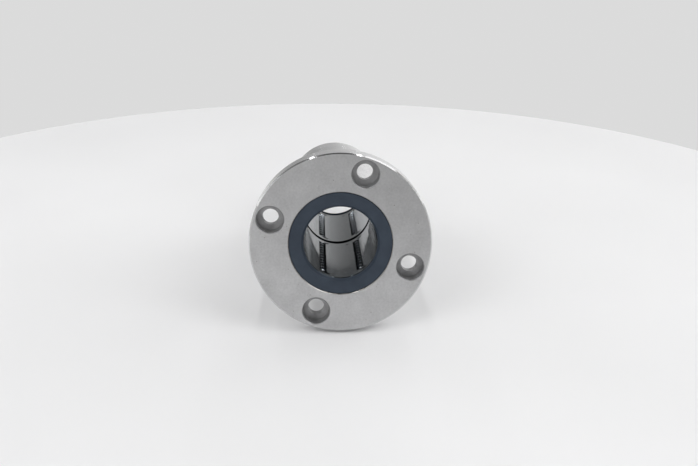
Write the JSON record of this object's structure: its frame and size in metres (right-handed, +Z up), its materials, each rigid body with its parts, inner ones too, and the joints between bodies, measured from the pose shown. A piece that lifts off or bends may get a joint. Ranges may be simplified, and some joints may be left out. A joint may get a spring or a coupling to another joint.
{
  "type": "linear ball bushing",
  "caption": "Long linear ball bushing with a round counterbored flange: a ground steel sleeve that holds recirculating-ball cages between end seals.",
  "frame": {"origin": "where the flange's seating face meets the axis of the shaft bore", "axes": "+Y along the bore from the flange to the far end, +Z up, +X to the right seen from the flange's front; the first screw hole is 70.4 degrees from +X towards +Z"},
  "size_m": [0.074, 0.123, 0.074],
  "materials": {
    "ground_steel": "finely ground hardened bearing steel, bare, with a light oil film",
    "ball_steel": "polished bearing balls",
    "cage_resin": "moulded dark grey acetal, glossy with grease",
    "spacer_resin": "moulded black plastic",
    "seal_rubber": "matte dark nitrile rubber",
    "washer_steel": "stamped sheet steel",
    "spring_steel": "phosphated spring steel"
  },
  "bodies": {
    "root": {"flanged_sleeve": "ground_steel", "front_ball_cage": "cage_resin", "rear_ball_cage": "cage_resin", "cage_spacer": "spacer_resin", "front_seal": "seal_rubber", "front_seal_washer": "washer_steel", "front_snap_ring": "spring_steel", "rear_seal": "seal_rubber", "rear_seal_washer": "washer_steel", "rear_snap_ring": "spring_steel"},
    "front_loaded_row_1": {"front_loaded_balls_1": "ball_steel"},
    "front_return_row_1": {"front_return_balls_1": "ball_steel"},
    "front_outer_turn_1": {"front_outer_turn_balls_1": "ball_steel"},
    "front_inner_turn_1": {"front_inner_turn_balls_1": "ball_steel"},
    "front_loaded_row_2": {"front_loaded_balls_2": "ball_steel"},
    "front_return_row_2": {"front_return_balls_2": "ball_steel"},
    "front_outer_turn_2": {"front_outer_turn_balls_2": "ball_steel"},
    "front_inner_turn_2": {"front_inner_turn_balls_2": "ball_steel"},
    "front_loaded_row_3": {"front_loaded_balls_3": "ball_steel"},
    "front_return_row_3": {"front_return_balls_3": "ball_steel"},
    "front_outer_turn_3": {"front_outer_turn_balls_3": "ball_steel"},
    "front_inner_turn_3": {"front_inner_turn_balls_3": "ball_steel"},
    "front_loaded_row_4": {"front_loaded_balls_4": "ball_steel"},
    "front_return_row_4": {"front_return_balls_4": "ball_steel"},
    "front_outer_turn_4": {"front_outer_turn_balls_4": "ball_steel"},
    "front_inner_turn_4": {"front_inner_turn_balls_4": "ball_steel"},
    "front_loaded_row_5": {"front_loaded_balls_5": "ball_steel"},
    "front_return_row_5": {"front_return_balls_5": "ball_steel"},
    "front_outer_turn_5": {"front_outer_turn_balls_5": "ball_steel"},
    "front_inner_turn_5": {"front_inner_turn_balls_5": "ball_steel"},
    "front_loaded_row_6": {"front_loaded_balls_6": "ball_steel"},
    "front_return_row_6": {"front_return_balls_6": "ball_steel"},
    "front_outer_turn_6": {"front_outer_turn_balls_6": "ball_steel"},
    "front_inner_turn_6": {"front_inner_turn_balls_6": "ball_steel"},
    "rear_loaded_row_1": {"rear_loaded_balls_1": "ball_steel"},
    "rear_return_row_1": {"rear_return_balls_1": "ball_steel"},
    "rear_outer_turn_1": {"rear_outer_turn_balls_1": "ball_steel"},
    "rear_inner_turn_1": {"rear_inner_turn_balls_1": "ball_steel"},
    "rear_loaded_row_2": {"rear_loaded_balls_2": "ball_steel"},
    "rear_return_row_2": {"rear_return_balls_2": "ball_steel"},
    "rear_outer_turn_2": {"rear_outer_turn_balls_2": "ball_steel"},
    "rear_inner_turn_2": {"rear_inner_turn_balls_2": "ball_steel"},
    "rear_loaded_row_3": {"rear_loaded_balls_3": "ball_steel"},
    "rear_return_row_3": {"rear_return_balls_3": "ball_steel"},
    "rear_outer_turn_3": {"rear_outer_turn_balls_3": "ball_steel"},
    "rear_inner_turn_3": {"rear_inner_turn_balls_3": "ball_steel"},
    "rear_loaded_row_4": {"rear_loaded_balls_4": "ball_steel"},
    "rear_return_row_4": {"rear_return_balls_4": "ball_steel"},
    "rear_outer_turn_4": {"rear_outer_turn_balls_4": "ball_steel"},
    "rear_inner_turn_4": {"rear_inner_turn_balls_4": "ball_steel"},
    "rear_loaded_row_5": {"rear_loaded_balls_5": "ball_steel"},
    "rear_return_row_5": {"rear_return_balls_5": "ball_steel"},
    "rear_outer_turn_5": {"rear_outer_turn_balls_5": "ball_steel"},
    "rear_inner_turn_5": {"rear_inner_turn_balls_5": "ball_steel"},
    "rear_loaded_row_6": {"rear_loaded_balls_6": "ball_steel"},
    "rear_return_row_6": {"rear_return_balls_6": "ball_steel"},
    "rear_outer_turn_6": {"rear_outer_turn_balls_6": "ball_steel"},
    "rear_inner_turn_6": {"rear_inner_turn_balls_6": "ball_steel"}
  },
  "joints": [
    {"name": "front_loaded_row_1_slide", "type": "slide", "parent": "root", "child": "front_loaded_row_1", "axis": [0, 1, 0], "range_m": [-0.0021, 0.0021]},
    {"name": "front_return_row_1_slide", "type": "slide", "parent": "root", "child": "front_return_row_1", "axis": [0, 1, 0], "range_m": [-0.00215, 0.00215]},
    {"name": "front_outer_turn_1_hinge", "type": "hinge", "parent": "root", "child": "front_outer_turn_1", "pos_m": [-0.00399, 0.00097, -0.01648], "axis": [-0.34, 0.1045, -0.9346], "range_deg": [-31, 31]},
    {"name": "front_inner_turn_1_hinge", "type": "hinge", "parent": "root", "child": "front_inner_turn_1", "pos_m": [-0.00399, 0.04297, -0.01648], "axis": [-0.34, -0.1045, -0.9346], "range_deg": [-31, 31]},
    {"name": "front_loaded_row_2_slide", "type": "slide", "parent": "root", "child": "front_loaded_row_2", "axis": [0, 1, 0], "range_m": [-0.0021, 0.0021]},
    {"name": "front_return_row_2_slide", "type": "slide", "parent": "root", "child": "front_return_row_2", "axis": [0, 1, 0], "range_m": [-0.00215, 0.00215]},
    {"name": "front_outer_turn_2_hinge", "type": "hinge", "parent": "root", "child": "front_outer_turn_2", "pos_m": [0.01227, 0.00097, -0.0117], "axis": [0.6394, 0.1045, -0.7617], "range_deg": [-31, 31]},
    {"name": "front_inner_turn_2_hinge", "type": "hinge", "parent": "root", "child": "front_inner_turn_2", "pos_m": [0.01227, 0.04297, -0.0117], "axis": [0.6394, -0.1045, -0.7617], "range_deg": [-31, 31]},
    {"name": "front_loaded_row_3_slide", "type": "slide", "parent": "root", "child": "front_loaded_row_3", "axis": [0, 1, 0], "range_m": [-0.0021, 0.0021]},
    {"name": "front_return_row_3_slide", "type": "slide", "parent": "root", "child": "front_return_row_3", "axis": [0, 1, 0], "range_m": [-0.00215, 0.00215]},
    {"name": "front_outer_turn_3_hinge", "type": "hinge", "parent": "root", "child": "front_outer_turn_3", "pos_m": [0.01627, 0.00097, 0.00478], "axis": [0.9794, 0.1045, 0.1729], "range_deg": [-31, 31]},
    {"name": "front_inner_turn_3_hinge", "type": "hinge", "parent": "root", "child": "front_inner_turn_3", "pos_m": [0.01627, 0.04297, 0.00478], "axis": [0.9794, -0.1045, 0.1729], "range_deg": [-31, 31]},
    {"name": "front_loaded_row_4_slide", "type": "slide", "parent": "root", "child": "front_loaded_row_4", "axis": [0, 1, 0], "range_m": [-0.0021, 0.0021]},
    {"name": "front_return_row_4_slide", "type": "slide", "parent": "root", "child": "front_return_row_4", "axis": [0, 1, 0], "range_m": [-0.00215, 0.00215]},
    {"name": "front_outer_turn_4_hinge", "type": "hinge", "parent": "root", "child": "front_outer_turn_4", "pos_m": [0.00399, 0.00097, 0.01648], "axis": [0.34, 0.1045, 0.9346], "range_deg": [-31, 31]},
    {"name": "front_inner_turn_4_hinge", "type": "hinge", "parent": "root", "child": "front_inner_turn_4", "pos_m": [0.00399, 0.04297, 0.01648], "axis": [0.34, -0.1045, 0.9346], "range_deg": [-31, 31]},
    {"name": "front_loaded_row_5_slide", "type": "slide", "parent": "root", "child": "front_loaded_row_5", "axis": [0, 1, 0], "range_m": [-0.0021, 0.0021]},
    {"name": "front_return_row_5_slide", "type": "slide", "parent": "root", "child": "front_return_row_5", "axis": [0, 1, 0], "range_m": [-0.00215, 0.00215]},
    {"name": "front_outer_turn_5_hinge", "type": "hinge", "parent": "root", "child": "front_outer_turn_5", "pos_m": [-0.01227, 0.00097, 0.0117], "axis": [-0.6394, 0.1045, 0.7617], "range_deg": [-31, 31]},
    {"name": "front_inner_turn_5_hinge", "type": "hinge", "parent": "root", "child": "front_inner_turn_5", "pos_m": [-0.01227, 0.04297, 0.0117], "axis": [-0.6394, -0.1045, 0.7617], "range_deg": [-31, 31]},
    {"name": "front_loaded_row_6_slide", "type": "slide", "parent": "root", "child": "front_loaded_row_6", "axis": [0, 1, 0], "range_m": [-0.0021, 0.0021]},
    {"name": "front_return_row_6_slide", "type": "slide", "parent": "root", "child": "front_return_row_6", "axis": [0, 1, 0], "range_m": [-0.00215, 0.00215]},
    {"name": "front_outer_turn_6_hinge", "type": "hinge", "parent": "root", "child": "front_outer_turn_6", "pos_m": [-0.01627, 0.00097, -0.00478], "axis": [-0.9794, 0.1045, -0.1729], "range_deg": [-31, 31]},
    {"name": "front_inner_turn_6_hinge", "type": "hinge", "parent": "root", "child": "front_inner_turn_6", "pos_m": [-0.01627, 0.04297, -0.00478], "axis": [-0.9794, -0.1045, -0.1729], "range_deg": [-31, 31]},
    {"name": "rear_loaded_row_1_slide", "type": "slide", "parent": "root", "child": "rear_loaded_row_1", "axis": [0, 1, 0], "range_m": [-0.0021, 0.0021]},
    {"name": "rear_return_row_1_slide", "type": "slide", "parent": "root", "child": "rear_return_row_1", "axis": [0, 1, 0], "range_m": [-0.00215, 0.00215]},
    {"name": "rear_outer_turn_1_hinge", "type": "hinge", "parent": "root", "child": "rear_outer_turn_1", "pos_m": [-0.00399, 0.10203, -0.01648], "axis": [-0.34, -0.1045, -0.9346], "range_deg": [-31, 31]},
    {"name": "rear_inner_turn_1_hinge", "type": "hinge", "parent": "root", "child": "rear_inner_turn_1", "pos_m": [-0.00399, 0.06003, -0.01648], "axis": [-0.34, 0.1045, -0.9346], "range_deg": [-31, 31]},
    {"name": "rear_loaded_row_2_slide", "type": "slide", "parent": "root", "child": "rear_loaded_row_2", "axis": [0, 1, 0], "range_m": [-0.0021, 0.0021]},
    {"name": "rear_return_row_2_slide", "type": "slide", "parent": "root", "child": "rear_return_row_2", "axis": [0, 1, 0], "range_m": [-0.00215, 0.00215]},
    {"name": "rear_outer_turn_2_hinge", "type": "hinge", "parent": "root", "child": "rear_outer_turn_2", "pos_m": [0.01227, 0.10203, -0.0117], "axis": [0.6394, -0.1045, -0.7617], "range_deg": [-31, 31]},
    {"name": "rear_inner_turn_2_hinge", "type": "hinge", "parent": "root", "child": "rear_inner_turn_2", "pos_m": [0.01227, 0.06003, -0.0117], "axis": [0.6394, 0.1045, -0.7617], "range_deg": [-31, 31]},
    {"name": "rear_loaded_row_3_slide", "type": "slide", "parent": "root", "child": "rear_loaded_row_3", "axis": [0, 1, 0], "range_m": [-0.0021, 0.0021]},
    {"name": "rear_return_row_3_slide", "type": "slide", "parent": "root", "child": "rear_return_row_3", "axis": [0, 1, 0], "range_m": [-0.00215, 0.00215]},
    {"name": "rear_outer_turn_3_hinge", "type": "hinge", "parent": "root", "child": "rear_outer_turn_3", "pos_m": [0.01627, 0.10203, 0.00478], "axis": [0.9794, -0.1045, 0.1729], "range_deg": [-31, 31]},
    {"name": "rear_inner_turn_3_hinge", "type": "hinge", "parent": "root", "child": "rear_inner_turn_3", "pos_m": [0.01627, 0.06003, 0.00478], "axis": [0.9794, 0.1045, 0.1729], "range_deg": [-31, 31]},
    {"name": "rear_loaded_row_4_slide", "type": "slide", "parent": "root", "child": "rear_loaded_row_4", "axis": [0, 1, 0], "range_m": [-0.0021, 0.0021]},
    {"name": "rear_return_row_4_slide", "type": "slide", "parent": "root", "child": "rear_return_row_4", "axis": [0, 1, 0], "range_m": [-0.00215, 0.00215]},
    {"name": "rear_outer_turn_4_hinge", "type": "hinge", "parent": "root", "child": "rear_outer_turn_4", "pos_m": [0.00399, 0.10203, 0.01648], "axis": [0.34, -0.1045, 0.9346], "range_deg": [-31, 31]},
    {"name": "rear_inner_turn_4_hinge", "type": "hinge", "parent": "root", "child": "rear_inner_turn_4", "pos_m": [0.00399, 0.06003, 0.01648], "axis": [0.34, 0.1045, 0.9346], "range_deg": [-31, 31]},
    {"name": "rear_loaded_row_5_slide", "type": "slide", "parent": "root", "child": "rear_loaded_row_5", "axis": [0, 1, 0], "range_m": [-0.0021, 0.0021]},
    {"name": "rear_return_row_5_slide", "type": "slide", "parent": "root", "child": "rear_return_row_5", "axis": [0, 1, 0], "range_m": [-0.00215, 0.00215]},
    {"name": "rear_outer_turn_5_hinge", "type": "hinge", "parent": "root", "child": "rear_outer_turn_5", "pos_m": [-0.01227, 0.10203, 0.0117], "axis": [-0.6394, -0.1045, 0.7617], "range_deg": [-31, 31]},
    {"name": "rear_inner_turn_5_hinge", "type": "hinge", "parent": "root", "child": "rear_inner_turn_5", "pos_m": [-0.01227, 0.06003, 0.0117], "axis": [-0.6394, 0.1045, 0.7617], "range_deg": [-31, 31]},
    {"name": "rear_loaded_row_6_slide", "type": "slide", "parent": "root", "child": "rear_loaded_row_6", "axis": [0, 1, 0], "range_m": [-0.0021, 0.0021]},
    {"name": "rear_return_row_6_slide", "type": "slide", "parent": "root", "child": "rear_return_row_6", "axis": [0, 1, 0], "range_m": [-0.00215, 0.00215]},
    {"name": "rear_outer_turn_6_hinge", "type": "hinge", "parent": "root", "child": "rear_outer_turn_6", "pos_m": [-0.01627, 0.10203, -0.00478], "axis": [-0.9794, -0.1045, -0.1729], "range_deg": [-31, 31]},
    {"name": "rear_inner_turn_6_hinge", "type": "hinge", "parent": "root", "child": "rear_inner_turn_6", "pos_m": [-0.01627, 0.06003, -0.00478], "axis": [-0.9794, 0.1045, -0.1729], "range_deg": [-31, 31]}
  ],
  "couplings": [
    {"joint": "front_return_row_1_slide", "follows": "front_loaded_row_1_slide", "ratio": -1},
    {"joint": "front_outer_turn_1_hinge", "follows": "front_loaded_row_1_slide", "rad_per_m": 249.33},
    {"joint": "front_inner_turn_1_hinge", "follows": "front_loaded_row_1_slide", "rad_per_m": 249.33},
    {"joint": "front_return_row_2_slide", "follows": "front_loaded_row_2_slide", "ratio": -1},
    {"joint": "front_outer_turn_2_hinge", "follows": "front_loaded_row_2_slide", "rad_per_m": 249.33},
    {"joint": "front_inner_turn_2_hinge", "follows": "front_loaded_row_2_slide", "rad_per_m": 249.33},
    {"joint": "front_return_row_3_slide", "follows": "front_loaded_row_3_slide", "ratio": -1},
    {"joint": "front_outer_turn_3_hinge", "follows": "front_loaded_row_3_slide", "rad_per_m": 249.33},
    {"joint": "front_inner_turn_3_hinge", "follows": "front_loaded_row_3_slide", "rad_per_m": 249.33},
    {"joint": "front_return_row_4_slide", "follows": "front_loaded_row_4_slide", "ratio": -1},
    {"joint": "front_outer_turn_4_hinge", "follows": "front_loaded_row_4_slide", "rad_per_m": 249.33},
    {"joint": "front_inner_turn_4_hinge", "follows": "front_loaded_row_4_slide", "rad_per_m": 249.33},
    {"joint": "front_return_row_5_slide", "follows": "front_loaded_row_5_slide", "ratio": -1},
    {"joint": "front_outer_turn_5_hinge", "follows": "front_loaded_row_5_slide", "rad_per_m": 249.33},
    {"joint": "front_inner_turn_5_hinge", "follows": "front_loaded_row_5_slide", "rad_per_m": 249.33},
    {"joint": "front_return_row_6_slide", "follows": "front_loaded_row_6_slide", "ratio": -1},
    {"joint": "front_outer_turn_6_hinge", "follows": "front_loaded_row_6_slide", "rad_per_m": 249.33},
    {"joint": "front_inner_turn_6_hinge", "follows": "front_loaded_row_6_slide", "rad_per_m": 249.33},
    {"joint": "rear_return_row_1_slide", "follows": "rear_loaded_row_1_slide", "ratio": -1},
    {"joint": "rear_outer_turn_1_hinge", "follows": "rear_loaded_row_1_slide", "rad_per_m": 249.33},
    {"joint": "rear_inner_turn_1_hinge", "follows": "rear_loaded_row_1_slide", "rad_per_m": 249.33},
    {"joint": "rear_return_row_2_slide", "follows": "rear_loaded_row_2_slide", "ratio": -1},
    {"joint": "rear_outer_turn_2_hinge", "follows": "rear_loaded_row_2_slide", "rad_per_m": 249.33},
    {"joint": "rear_inner_turn_2_hinge", "follows": "rear_loaded_row_2_slide", "rad_per_m": 249.33},
    {"joint": "rear_return_row_3_slide", "follows": "rear_loaded_row_3_slide", "ratio": -1},
    {"joint": "rear_outer_turn_3_hinge", "follows": "rear_loaded_row_3_slide", "rad_per_m": 249.33},
    {"joint": "rear_inner_turn_3_hinge", "follows": "rear_loaded_row_3_slide", "rad_per_m": 249.33},
    {"joint": "rear_return_row_4_slide", "follows": "rear_loaded_row_4_slide", "ratio": -1},
    {"joint": "rear_outer_turn_4_hinge", "follows": "rear_loaded_row_4_slide", "rad_per_m": 249.33},
    {"joint": "rear_inner_turn_4_hinge", "follows": "rear_loaded_row_4_slide", "rad_per_m": 249.33},
    {"joint": "rear_return_row_5_slide", "follows": "rear_loaded_row_5_slide", "ratio": -1},
    {"joint": "rear_outer_turn_5_hinge", "follows": "rear_loaded_row_5_slide", "rad_per_m": 249.33},
    {"joint": "rear_inner_turn_5_hinge", "follows": "rear_loaded_row_5_slide", "rad_per_m": 249.33},
    {"joint": "rear_return_row_6_slide", "follows": "rear_loaded_row_6_slide", "ratio": -1},
    {"joint": "rear_outer_turn_6_hinge", "follows": "rear_loaded_row_6_slide", "rad_per_m": 249.33},
    {"joint": "rear_inner_turn_6_hinge", "follows": "rear_loaded_row_6_slide", "rad_per_m": 249.33}
  ]
}
